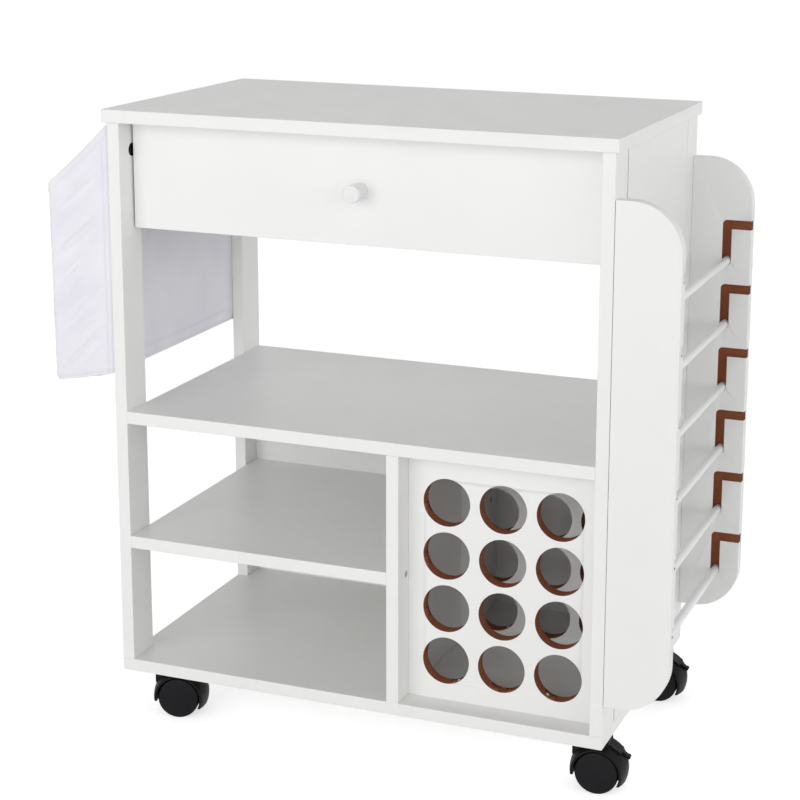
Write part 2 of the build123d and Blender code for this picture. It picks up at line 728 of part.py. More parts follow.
def make_casters():
    corners = {
        "front_left": (left_face + caster_side_inset, front_face + caster_end_inset),
        "front_right": (right_face - caster_side_inset, front_face + caster_end_inset),
        "rear_left": (left_face + caster_side_inset, rear_face - caster_end_inset),
        "rear_right": (right_face - caster_side_inset, rear_face - caster_end_inset),
    }
    screw = pan_screw(panel_screw_radius, caster_screw_length, panel_screw_head, small_screw_head_height)
    hole = rod(panel_screw_radius + hole_gap, caster_screw_length + hole_gap)
    wheel = caster_wheel()
    wheel_start = web_width / 2 + wheel_gap
    axle_reach = wheel_start + axle_grip
    turns = {"front_left": front_left_turn, "front_right": front_right_turn}
    for corner, (x, y) in corners.items():
        braked = corner.endswith("right")
        place = Pos(x, y, 0) * Rot(0, 0, turns.get(corner, 0))
        pieces[corner + "_caster_hood"] = place * caster_hood(braked)
        pieces[corner + "_caster_axle"] = place * wheel_disc(axle_radius, -axle_reach, axle_reach)
        front_wheel = aim(wheel, (trail, -wheel_start, wheel_radius), front)
        rear_wheel = aim(wheel, (trail, wheel_start, wheel_radius), back)
        pieces[corner + "_caster_front_wheel"] = place * front_wheel
        pieces[corner + "_caster_rear_wheel"] = place * rear_wheel
        if braked:
            pieces[corner + "_brake_lever"] = place * brake_lever()
        plate = Pos(x, y, 0) * caster_plate()
        for across in (-plate_hole_offset, plate_hole_offset):
            for along in (-plate_hole_offset, plate_hole_offset):
                seat = (x + across, y + along, caster_height - plate_thickness)
                plate -= aim(hole, seat, up)
                drive_screw("caster_screws", screw, hole, seat, up, ("bottom_panel",))
        add_fastener("caster_plates", plate)


make_body()
join_body()
make_hole_panels()
make_rack()
make_drawer()
make_bag()
make_casters()

for node, shapes in cutters.items():
    for shape in shapes:
        pieces[node] -= shape

os.makedirs("parts", exist_ok=True)
for node, piece in pieces.items():
    shape = Compound(children=piece) if isinstance(piece, list) else piece
    export_step(shape, "parts/" + node + ".step")
print(len(pieces), "nodes written")
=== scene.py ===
import json
import math
import random

import bmesh
import bpy
from mathutils import Matrix, Vector, noise


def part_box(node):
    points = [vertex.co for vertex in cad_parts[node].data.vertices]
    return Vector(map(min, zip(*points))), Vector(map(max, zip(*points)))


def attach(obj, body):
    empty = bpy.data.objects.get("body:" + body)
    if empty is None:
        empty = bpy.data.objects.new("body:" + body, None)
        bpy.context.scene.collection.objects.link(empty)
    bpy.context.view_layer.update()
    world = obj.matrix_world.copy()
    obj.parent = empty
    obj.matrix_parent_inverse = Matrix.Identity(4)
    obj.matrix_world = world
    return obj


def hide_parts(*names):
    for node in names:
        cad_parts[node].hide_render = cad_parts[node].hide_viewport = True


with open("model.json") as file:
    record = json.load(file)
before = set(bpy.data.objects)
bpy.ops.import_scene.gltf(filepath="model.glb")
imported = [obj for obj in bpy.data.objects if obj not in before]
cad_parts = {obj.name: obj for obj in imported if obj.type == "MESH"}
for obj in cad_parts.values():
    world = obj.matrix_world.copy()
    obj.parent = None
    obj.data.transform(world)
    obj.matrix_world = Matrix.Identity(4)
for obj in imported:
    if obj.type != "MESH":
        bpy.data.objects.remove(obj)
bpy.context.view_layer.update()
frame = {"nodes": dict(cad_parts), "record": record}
nodes = frame["nodes"]
mm = 0.001


# Colours, nodes, objects and meshes

def hexToLinear(code):
    channels = [int(code[i:i + 2], 16) / 255 for i in (1, 3, 5)]
    linear = [c / 12.92 if c <= 0.04045 else ((c + 0.055) / 1.055) ** 2.4 for c in channels]
    return (*linear, 1.0)


def addNode(tree, kind, settings=None, links=None):
    # settings: a property of the node by its name, or an input by name or number
    # links: an input by name or number, and the socket that feeds it
    # A colour mix has its two colours at inputs 6 and 7, and its result at output 2
    node = tree.nodes.new(kind)
    for key, value in (settings or {}).items():
        if isinstance(key, str) and hasattr(node, key):
            setattr(node, key, value)
        else:
            node.inputs[key].default_value = value
    for key, source in (links or {}).items():
        tree.links.new(source, node.inputs[key])
    return node


def emptyTree(owner):
    # owner: a material or a world
    owner.use_nodes = True
    owner.node_tree.nodes.clear()
    return owner.node_tree


def newMaterial(name):
    material = bpy.data.materials.new(name)
    tree = emptyTree(material)
    shader = addNode(tree, "ShaderNodeBsdfPrincipled")
    addNode(tree, "ShaderNodeOutputMaterial", links={"Surface": shader.outputs["BSDF"]})
    return material, tree, shader


def setShader(shader, values):
    for name, value in values.items():
        shader.inputs[name].default_value = value


def addObject(name, data):
    added = bpy.data.objects.new(name, data)
    bpy.context.scene.collection.objects.link(added)
    return added


def evaluatedMesh(piece):
    # What the piece's modifiers make, as a plain mesh
    graph = bpy.context.evaluated_depsgraph_get()
    return bpy.data.meshes.new_from_object(piece.evaluated_get(graph))


def weld(mesh, distance, faceOut=False):
    # Joins points that lie together, and turns the faces outwards where that is asked
    shape = bmesh.new()
    shape.from_mesh(mesh)
    bmesh.ops.remove_doubles(shape, verts=shape.verts, dist=distance)
    if faceOut:
        bmesh.ops.recalc_face_normals(shape, faces=shape.faces)
    shape.to_mesh(mesh)
    shape.free()


def shadeSmooth(mesh):
    for polygon in mesh.polygons:
        polygon.use_smooth = True


# Materials of the hard pieces
# fields: noise patterns, each with the size of one blotch and its detail
# tones: the field that mixes two colours; grain: the field that is raised, its height and strength
# gloss: the field that changes the roughness, from its lowest to its highest

noiseSpan = {"From Min": 0.3, "From Max": 0.7}    # noise seldom leaves this range

melamine = {
    # Melamine foil pressed on fibreboard: clean white, a satin sheen broken by a fine pearl texture
    "name": "melamineFacedBoard",
    "fields": {
        "clouds": (90 * mm, 3),      # faint cloudiness over a hand's width
        "smudges": (30 * mm, 4),
        "pearl": (0.9 * mm, 2),      # drawn about twice its real size so that it shows
    },
    "tones": ("clouds", "#F2F2F1", "#EDEDEB"),
    "grain": ("pearl", 0.02 * mm, 0.6),
    "gloss": ("smudges", 0.34, 0.46),
    "shader": {"IOR": 1.5},
}

jointEdgeAndShade = {
    # Where two boards meet: an uneven, matt dark grey line, partly the bare board edge and partly
    # painted shade of the narrow gap between them
    "name": "bareEdgeAndPaintedJointShade",
    "fields": {"unevenness": (9 * mm, 3)},
    "tones": ("unevenness", "#2E2A28", "#7C7874"),
    "shader": {"Roughness": 0.95, "Specular IOR Level": 0.2},
}

powderCoat = {
    # Powder-coated steel: even white with a low orange peel and a soft gloss
    "name": "whitePowderCoat",
    "fields": {"clouds": (30 * mm, 3), "peel": (1.4 * mm, 2)},
    "tones": ("clouds", "#F2F2F2", "#E9E9EA"),
    "grain": ("peel", 0.03 * mm, 0.5),
    "shader": {"Roughness": 0.3, "Coat Weight": 0.25, "Coat Roughness": 0.15},
}

knobLacquer = {
    # Lacquered knob: pale grey-white with a tight highlight
    "name": "lacqueredKnob",
    "fields": {"clouds": (8 * mm, 3), "turned": (0.8 * mm, 2)},
    "tones": ("clouds", "#EDEDED", "#E1E1E2"),
    "grain": ("turned", 0.01 * mm, 0.4),
    "shader": {"Roughness": 0.25, "Coat Weight": 0.4, "Coat Roughness": 0.1},
}

zincPlate = {
    # Bright zinc plate on rolled steel: light grey metal with a faint directional grain
    "name": "zincPlatedSteel",
    "fields": {"spangle": (5 * mm, 3), "rolled": (0.8 * mm, 4)},
    "stretch": {"rolled": (1, 0.08, 1)},
    "tones": ("spangle", "#C6C8CB", "#AEB0B4"),
    "grain": ("rolled", 0.01 * mm, 0.4),
    "gloss": ("rolled", 0.24, 0.42),
    "shader": {"Metallic": 1.0},
}

blackZinc = {
    # Die-cast cam with a black passivated skin: near black, a little rough from the mould
    "name": "blackPassivatedZinc",
    "fields": {"cast": (0.6 * mm, 4)},
    "tones": ("cast", "#2B2927", "#1D1C1B"),
    "grain": ("cast", 0.04 * mm, 0.6),
    "shader": {"Metallic": 0.7, "Roughness": 0.5},
}

hoodPlastic = {
    # Injection-moulded plastic: even black with a fine spark-eroded grain, nearly matt
    "name": "blackMouldedHood",
    "fields": {"flow": (14 * mm, 3), "eroded": (0.7 * mm, 2)},
    "tones": ("flow", "#0A0A0B", "#0F0F10"),
    "grain": ("eroded", 0.04 * mm, 0.6),
    "gloss": ("flow", 0.4, 0.55),
    "shader": {"Specular IOR Level": 0.14},
}

wheelPlastic = {
    # Injection-moulded nylon: black, smoother than the hood, with small changes of sheen
    "name": "blackNylonWheel",
    "fields": {"flow": (14 * mm, 3), "eroded": (0.9 * mm, 2)},
    "tones": ("flow", "#0F0F12", "#151518"),
    "grain": ("eroded", 0.02 * mm, 0.6),
    "gloss": ("flow", 0.28, 0.4),
    "shader": {"Specular IOR Level": 0.14},
}


def makeHardFinish(look):
    material, tree, shader = newMaterial(look["name"])
    coords = addNode(tree, "ShaderNodeTexCoord").outputs["Object"]
    fields = {}
    for label, (size, detail) in look["fields"].items():
        stretch = look.get("stretch", {}).get(label, (1, 1, 1))
        place = addNode(tree, "ShaderNodeMapping", {"Scale": stretch}, {"Vector": coords})
        field = addNode(tree, "ShaderNodeTexNoise", {"Scale": 1 / size, "Detail": detail},
                        {"Vector": place.outputs["Vector"]})
        fields[label] = field.outputs["Fac"]
    label, first, second = look["tones"]
    tones = addNode(tree, "ShaderNodeMix",
                    {"data_type": "RGBA", 6: hexToLinear(first), 7: hexToLinear(second)},
                    {0: fields[label]})
    tree.links.new(tones.outputs[2], shader.inputs["Base Color"])
    if "grain" in look:
        label, height, strength = look["grain"]
        bump = addNode(tree, "ShaderNodeBump", {"Strength": strength, "Distance": height},
                       {"Height": fields[label]})
        tree.links.new(bump.outputs["Normal"], shader.inputs["Normal"])
    if "gloss" in look:
        label, low, high = look["gloss"]
        gloss = addNode(tree, "ShaderNodeMapRange", {**noiseSpan, "To Min": low, "To Max": high},
                        {"Value": fields[label]})
        tree.links.new(gloss.outputs["Result"], shader.inputs["Roughness"])
    setShader(shader, look["shader"])
    return material


fibreboard = {
    "light": "#AE6B4B",
    "dark": "#693B27",
    "fibreSize": 0.9 * mm,
    "fibreStretch": (1, 0.35, 1),
    "fibreShare": 0.65,           # of the change in tone
    "fibreHeight": 0.12 * mm,
    "blotchSize": 6 * mm,
    "blotchShare": 0.35,
}


def makeFibreboard():
    # Routed fibreboard core: warm brown, dead matt, with short pale and dark fibres
    material, tree, shader = newMaterial("routedFibreboard")
    coords = addNode(tree, "ShaderNodeTexCoord").outputs["Object"]
    place = addNode(tree, "ShaderNodeMapping", {"Scale": fibreboard["fibreStretch"]},
                    {"Vector": coords}).outputs["Vector"]
    fibres = addNode(tree, "ShaderNodeTexNoise",
                     {"Scale": 1 / fibreboard["fibreSize"], "Detail": 6, "Roughness": 0.7},
                     {"Vector": place})
    blotches = addNode(tree, "ShaderNodeTexNoise",
                       {"Scale": 1 / fibreboard["blotchSize"], "Detail": 2}, {"Vector": place})
    fibreTone = addNode(tree, "ShaderNodeMapRange",
                        {**noiseSpan, "To Min": 0.0, "To Max": fibreboard["fibreShare"]},
                        {"Value": fibres.outputs["Fac"]})
    both = addNode(tree, "ShaderNodeMath",
                   {"operation": "MULTIPLY_ADD", 1: fibreboard["blotchShare"]},
                   {0: blotches.outputs["Fac"], 2: fibreTone.outputs["Result"]})
    tones = addNode(tree, "ShaderNodeMix",
                    {"data_type": "RGBA", 6: hexToLinear(fibreboard["dark"]),
                     7: hexToLinear(fibreboard["light"])}, {0: both.outputs[0]})
    bump = addNode(tree, "ShaderNodeBump", {"Strength": 0.7, "Distance": fibreboard["fibreHeight"]},
                   {"Height": fibres.outputs["Fac"]})
    tree.links.new(tones.outputs[2], shader.inputs["Base Color"])
    tree.links.new(bump.outputs["Normal"], shader.inputs["Normal"])
    setShader(shader, {"Roughness": 0.92, "Specular IOR Level": 0.3})
    return material


# Materials of the bag

wavePeriod = 0.314                # metres between the crests of a wave texture whose scale is 1

cloth = {
    "white": "#F2F1F7",
    "shade": "#E6E5EF",
    "threadPitch": 1.1 * mm,      # really about 0.5 mm; drawn coarser so that it shows
    "threadHeight": 0.05 * mm,
    "threadTone": 0.3,            # the weave's share of the change in tone
    "slubSize": 2.5 * mm,
    "slubHeight": 0.6,            # as a share of the threads' height
    "patchSize": 60 * mm,
    "patchTone": 0.6,
}


def makeBagCloth():
    # Plain-woven polyester canvas: cool white, fully matt, with a soft fuzz at grazing angles
    material, tree, shader = newMaterial("wovenPolyesterCanvas")
    uv = addNode(tree, "ShaderNodeUVMap", {"uv_map": "clothMetres"}).outputs["UV"]
    threads = []
    for direction in ("X", "Y"):
        wave = addNode(tree, "ShaderNodeTexWave",
                       {"bands_direction": direction, "Scale": wavePeriod / cloth["threadPitch"],
                        "Distortion": 0.4, "Detail": 1.0, "Detail Scale": 0.6}, {"Vector": uv})
        threads.append(wave.outputs["Fac"])
    weave = addNode(tree, "ShaderNodeMath", {"operation": "MULTIPLY"},
                    {0: threads[0], 1: threads[1]})
    slubs = addNode(tree, "ShaderNodeTexNoise", {"Scale": 1 / cloth["slubSize"], "Detail": 4},
                    {"Vector": uv})
    coords = addNode(tree, "ShaderNodeTexCoord").outputs["Object"]
    patches = addNode(tree, "ShaderNodeTexNoise", {"Scale": 1 / cloth["patchSize"], "Detail": 3},
                      {"Vector": coords})
    patchTone = addNode(tree, "ShaderNodeMapRange",
                        {**noiseSpan, "To Min": 0.0, "To Max": cloth["patchTone"]},
                        {"Value": patches.outputs["Fac"]})
    tone = addNode(tree, "ShaderNodeMath", {"operation": "MULTIPLY_ADD", 1: cloth["threadTone"]},
                   {0: weave.outputs[0], 2: patchTone.outputs["Result"]})
    tones = addNode(tree, "ShaderNodeMix",
                    {"data_type": "RGBA", 6: hexToLinear(cloth["white"]),
                     7: hexToLinear(cloth["shade"])}, {0: tone.outputs[0]})
    height = addNode(tree, "ShaderNodeMath", {"operation": "MULTIPLY_ADD", 1: cloth["slubHeight"]},
                     {0: slubs.outputs["Fac"], 2: weave.outputs[0]})
    bump = addNode(tree, "ShaderNodeBump", {"Strength": 0.7, "Distance": cloth["threadHeight"]},
                   {"Height": height.outputs[0]})
    tree.links.new(tones.outputs[2], shader.inputs["Base Color"])
    tree.links.new(bump.outputs["Normal"], shader.inputs["Normal"])
    setShader(shader, {"Roughness": 0.95, "Specular IOR Level": 0.25, "Sheen Weight": 0.15,
                       "Sheen Roughness": 0.5})
    return material


sewingThread = {"shade": "#DDDCE6", "white": "#F4F3F8", "twist": 0.5 * mm}


def makeThread():
    # Spun polyester sewing thread: white, slightly silky
    material, tree, shader = newMaterial("sewingThread")
    coords = addNode(tree, "ShaderNodeTexCoord").outputs["Object"]
    twist = addNode(tree, "ShaderNodeTexWave",
                    {"bands_direction": "DIAGONAL", "Scale": wavePeriod / sewingThread["twist"]},
                    {"Vector": coords})
    tones = addNode(tree, "ShaderNodeMix",
                    {"data_type": "RGBA", 6: hexToLinear(sewingThread["shade"]),
                     7: hexToLinear(sewingThread["white"])}, {0: twist.outputs["Fac"]})
    tree.links.new(tones.outputs[2], shader.inputs["Base Color"])
    setShader(shader, {"Roughness": 0.6, "Sheen Weight": 0.2})
    return material


materials = {
    "board": makeHardFinish(melamine),
    "core": makeFibreboard(),
    # joint: a dark line where boards meet, partly their bare edge and partly painted shade of the
    # gap
    "joint": makeHardFinish(jointEdgeAndShade),
    "coat": makeHardFinish(powderCoat),
    "knob": makeHardFinish(knobLacquer),
    "zinc": makeHardFinish(zincPlate),
    "cam": makeHardFinish(blackZinc),
    "hood": makeHardFinish(hoodPlastic),
    "wheel": makeHardFinish(wheelPlastic),
    "cloth": makeBagCloth(),
    "thread": makeThread(),
}
print("stage: materials made")


# Finishes of the pieces that keep their construction shape

steelWords = ("screws", "bolts", "fixed_rail", "slider", "axle", "plates")
plasticWords = {"hood": "hood", "lever": "hood", "wheel": "wheel"}


def finishFor(name):
    if name.startswith("roll_rod"):
        return "coat"
    if name == "drawer_knob":
        return "knob"
    if name == "cam_locks":
        return "cam"
    for word, finish in plasticWords.items():
        if name.endswith(word):
            return finish
    if name.endswith(steelWords):
        return "zinc"
    return "board"


def dressNodes():
    for name, piece in nodes.items():
        piece.data.materials.clear()
        piece.data.materials.append(materials[finishFor(name)])


dressNodes()
print("stage: construction pieces finished")


# Boards with bare fibreboard inside their holes and notches, or a dark joint line of painted shade
# along their edges

board = {
    "finishes": ("board", "core", "joint"),    # the material slots of a board, in this order
    "weld": 0.001 * mm,
    "smoothBelow": 35,            # degrees; an edge that turns further stays sharp
    "flatWeight": 100,            # how much the large faces decide the shading at their edges
    "jointTurn": 0.45,            # an edge that turns to the next board at least this much gets the dark joint line, partly bare edge and partly painted shade
}


def boardCopy(nodeName, name):
    # The construction board's own shape, with its loose triangles joined
    mesh = nodes[nodeName].data.copy()
    mesh.name = name
    piece = addObject(name, mesh)
    weld(mesh, board["weld"])
    mesh.materials.clear()
    for finish in board["finishes"]:
        mesh.materials.append(materials[finish])
    return piece


def finishBoard(piece, nodeName):
    # Round walls shade smoothly, and the large flat faces stay flat up to their rounded edges
    shadeSmooth(piece.data)
    piece.data.set_sharp_from_angle(angle=math.radians(board["smoothBelow"]))
    even = piece.modifiers.new("even", "WEIGHTED_NORMAL")
    even.keep_sharp = True
    even.weight = board["flatWeight"]
    piece.data = evaluatedMesh(piece)
    piece.modifiers.clear()
    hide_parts(nodeName)
    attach(piece, "cart_body")


holedPanel = {
    "columnGap": 1.0 * mm,        # holes that are less apart sideways are in one column
    "wallTurn": 0.5,              # a hole's wall turns to the front less than this
}


def makeHoledPanel(nodeName, name):
    # The core shows on the walls of the round holes
    piece = boardCopy(nodeName, name)
    boxes = [opening["box_m"] for opening in frame["record"]["physics"]["openings"]
             if opening["name"].startswith("roll_hole")]
    centres = [((low[0] + high[0]) / 2, (low[2] + high[2]) / 2) for low, high in boxes]
    gaps = [abs(a[0] - b[0]) for a in centres for b in centres]
    pitch = min(gap for gap in gaps if gap > holedPanel["columnGap"])
    for polygon in piece.data.polygons:
        spot = polygon.center
        nearest = min(math.hypot(spot.x - x, spot.z - z) for x, z in centres)
        if abs(polygon.normal.y) < holedPanel["wallTurn"] and nearest < pitch / 2:
            polygon.material_index = board["finishes"].index("core")
    finishBoard(piece, nodeName)


rackWing = {
    "cornerRadius": 55 * mm,
    "skin": 1.2 * mm,             # the foil goes round the outer edges this deep
    "outerTurn": 0.1,             # an edge on the wing's outer face turns outwards more than this
}


def makeWing(nodeName, name):
    # The core shows inside the notches that hold the rods, and a dark joint line of painted shade
    # runs along the rounded edge beside the post
    piece = boardCopy(nodeName, name)
    low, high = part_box(nodeName)
    radius = rackWing["cornerRadius"]
    skin = rackWing["skin"]
    outwards = 1 if low.y + high.y > 0 else -1
    for polygon in piece.data.polygons:
        spot = polygon.center
        insideBoard = low.y + skin < spot.y < high.y - skin
        edge = min(spot.x - low.x, high.x - spot.x, spot.z - low.z, high.z - spot.z)
        cornerX = spot.x - (high.x - radius)
        cornerZ = max(low.z + radius - spot.z, spot.z - (high.z - radius))
        if cornerX > 0 and cornerZ > 0:
            edge = radius - math.hypot(cornerX, cornerZ)
        onOuterFace = polygon.normal.y * outwards > rackWing["outerTurn"]
        if insideBoard and edge > skin:
            polygon.material_index = board["finishes"].index("core")
        # the rounded edge next to the post is painted dark: painted shade of the gap, with the bare
        # board edge
        elif polygon.normal.x < -board["jointTurn"] and onOuterFace:
            polygon.material_index = board["finishes"].index("joint")
    finishBoard(piece, nodeName)


def makeInfillPanel(nodeName, name):
    # Its two joints with the posts are painted as thin dark lines: painted shade of the gaps, with
    # the bare board edges
    piece = boardCopy(nodeName, name)
    for polygon in piece.data.polygons:
        if abs(polygon.normal.y) > board["jointTurn"]:
            polygon.material_index = board["finishes"].index("joint")
    finishBoard(piece, nodeName)


makeHoledPanel("front_hole_panel", "frontHoledPanel")
makeHoledPanel("rear_hole_panel", "rearHoledPanel")
makeWing("front_rack_wing", "frontRackWing")
makeWing("rear_rack_wing", "rearRackWing")
makeInfillPanel("right_infill_panel", "rightInfillPanel")
print("stage: holed panels, rack wings and infill panel made")


# Cloth bag: one lofted shell that hangs from the left posts and sags outwards

bag = {
    "backGap": 0.2 * mm,
    "mouthLean": 7.5 * mm,        # the outer face hangs out past the straight bag at its mouth
    "bottomLean": 6.0 * mm,       # and at its bottom
    "height": 293 * mm,
    "mouthDrop": 74 * mm,         # the mouth falls this far from the posts to the outer face
    "mouthSlack": 4 * mm,
    "sideSlack": 0.5,             # the share of that slack in each side
    "sag": 16.5 * mm,             # the bottom falls this far from the posts to the outer face
    "sagCurve": 0.9,
    "bottomSlack": 3 * mm,
    "cornerRadius": 5 * mm,
    "bottomRadius": 8 * mm,
    "backBow": 3 * mm,
    "backBowRange": (0.45, 0.75),    # where it starts and is full, as shares of the height
    "backCloth": 2.8 * mm,        # the back is a doubled layer, as thick as its screws expect
    "cloth": 1.7 * mm,
    "rimRise": 0.45,              # the mouth's edge is rounded up, as a share of the cloth
    "hemWidth": 10 * mm,
    "hemHeight": 0.7 * mm,
    "hemHold": 25 * mm,           # folds fade in over this length below the hem
    "stitchInset": 8.4 * mm,
    "seamFromPost": 7 * mm,
    "seamWidth": 0.8 * mm,        # to each side of the seam
    "seamDepth": 0.6 * mm,
    "seamHold": 14 * mm,          # and past the seam
    "bottomHold": 0.06,           # and above the bottom, as a share of the height
    "cornerHold": 16 * mm,        # the corners are sewn, so folds are held this near to them
    "cornerLoose": 0.2,           # what is left of the folds there
    "foldSeed": 11,
    "foldCount": 15,
    "foldStart": 20 * mm,
    "foldSpread": (0.1, 0.9),     # where a fold lies in its own part of the height
    "foldHeight": (1.8 * mm, 3.6 * mm),
    "foldTurns": (-1, 1, 1),      # about one fold in three goes inwards
    "foldWidth": (2.8 * mm, 5.6 * mm),
    "foldSlope": (38, 50),        # degrees
    "foldMiddle": (0.3, 0.7),     # from the posts, as a share of the reach
    "foldFade": 0.5,              # how soon a fold fades along its length, as a share of the reach
    "faceShare": 0.8,             # folds run on this fast round the corner, over the outer face
    "puckerSize": 45 * mm,
    "puckerHeight": 1.2 * mm,
    "facePucker": 2,              # times as high on the outer face
    "crumpleReach": 20 * mm,      # short crumples along the bottom edge, up to this height
    "crumpleSize": 9 * mm,
    "crumpleHeight": 2.6 * mm,
    "crumpleDrop": 0.6,           # how much of a crumple goes up and down
    "sideStep": 2.6 * mm,         # mesh: steps along the sides and the outer face
    "faceStep": 5 * mm,
    "mouthRows": (0, 1.2 * mm, 5 * mm),
    "hemRows": (0.3 * mm, 0.6 * mm),    # before and after the hem's edge
    "middleRows": 96,
    "bottomRows": (8 * mm, 7 * mm, 1 * mm, 0),
    "innerRows": 6,
    "weld": 0.05 * mm,
}
bagLow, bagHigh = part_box("craft_bag")
bagReach = bagHigh.x - bagLow.x
bagDepth = bagHigh.y - bagLow.y
quarterTurn = (22.5, 45, 67.5)    # degrees, the steps inside a rounded corner


def stepsBetween(start, end, step):
    count = max(1, round((end - start) / step))
    return [start + (end - start) * i / count for i in range(count + 1)]


def cornerArc(across, along, start):
    # across grows away from the posts, so the outward direction's x is turned round
    arc = []
    for step in quarterTurn:
        angle = math.radians(start + step)
        x, y = math.cos(angle), math.sin(angle)
        place = (across + bag["cornerRadius"] * x, along + bag["cornerRadius"] * y)
        arc.append((*place, Vector((-x, y, 0))))
    return arc


def bagLoop():
    # Columns round the bag seen from above, each with its distance from the posts,
    # its distance from the front and the outward direction
    radius = bag["cornerRadius"]
    seam, beside = bag["seamFromPost"], bag["seamWidth"]
    across = [radius, seam - beside, seam]
    across += stepsBetween(seam + beside, bagReach - radius, bag["sideStep"])
    along = stepsBetween(radius, bagDepth - radius, bag["faceStep"])
    loop = [(a, 0, Vector((0, -1, 0))) for a in across]
    loop += cornerArc(bagReach - radius, radius, -90)
    loop += [(bagReach, b, Vector((-1, 0, 0))) for b in along]
    loop += cornerArc(bagReach - radius, bagDepth - radius, 0)
    loop += [(a, bagDepth, Vector((0, 1, 0))) for a in reversed(across)]
    loop += cornerArc(radius, bagDepth - radius, 90)
    loop += [(0, b, Vector((1, 0, 0))) for b in reversed(along)]
    loop += cornerArc(radius, radius, 180)
    return loop


def bagLevels():
    # Rows from the mouth down the walls, round the bottom's edge, then inwards to its middle line
    beforeHem, afterHem = bag["hemRows"]
    rows = [("belowMouth", depth) for depth in bag["mouthRows"]]
    rows += [("belowMouth", bag["stitchInset"]), ("belowMouth", bag["hemWidth"] - beforeHem),
             ("belowMouth", bag["hemWidth"] + afterHem)]
    rows += [("between", i / bag["middleRows"]) for i in range(1, bag["middleRows"])]
    rows += [("aboveBottom", height) for height in bag["bottomRows"]]
    rows += [("round", math.radians(angle)) for angle in (*quarterTurn, 90)]
    inner = 1 - 2 * bag["bottomRadius"] / bagReach
    count = bag["innerRows"]
    rows += [("inwards", inner * (1 - i / count)) for i in range(1, count + 1)]
    return rows


def softFolds():
    # Soft folds that rise towards the posts
    chance = random.Random(bag["foldSeed"])
    folds = []
    for number in range(bag["foldCount"]):
        share = number + chance.uniform(*bag["foldSpread"])
        folds.append({
            "rise": bag["height"] * share / bag["foldCount"] + bag["foldStart"],
            "width": chance.uniform(*bag["foldWidth"]),
            "height": chance.uniform(*bag["foldHeight"]) * chance.choice(bag["foldTurns"]),
            "slope": math.radians(chance.uniform(*bag["foldSlope"])),
            "middle": chance.uniform(*bag["foldMiddle"]) * bagReach,
        })
    return folds


bagColumns = bagLoop()
bagRows = bagLevels()
bagFolds = softFolds()


def foldHeight(sideways, rise):
    total = 0
    for fold in bagFolds:
        off = (rise - fold["rise"]) * math.cos(fold["slope"]) + sideways * math.sin(fold["slope"])
        fade = math.exp(-((sideways - fold["middle"]) / (bag["foldFade"] * bagReach)) ** 2)
        total += fold["height"] * fade * math.exp(-(off / fold["width"]) ** 2)
    return total


def easeIn(value, start, end):
    share = min(max((value - start) / (end - start), 0), 1)
    return share * share * (3 - 2 * share)


def onSeam(column):
    # One of the two seams that run down the sides, near the posts
    across, along, outward = column
    return abs(across - bag["seamFromPost"]) < 0.1 * mm and abs(outward.y) > 0.9


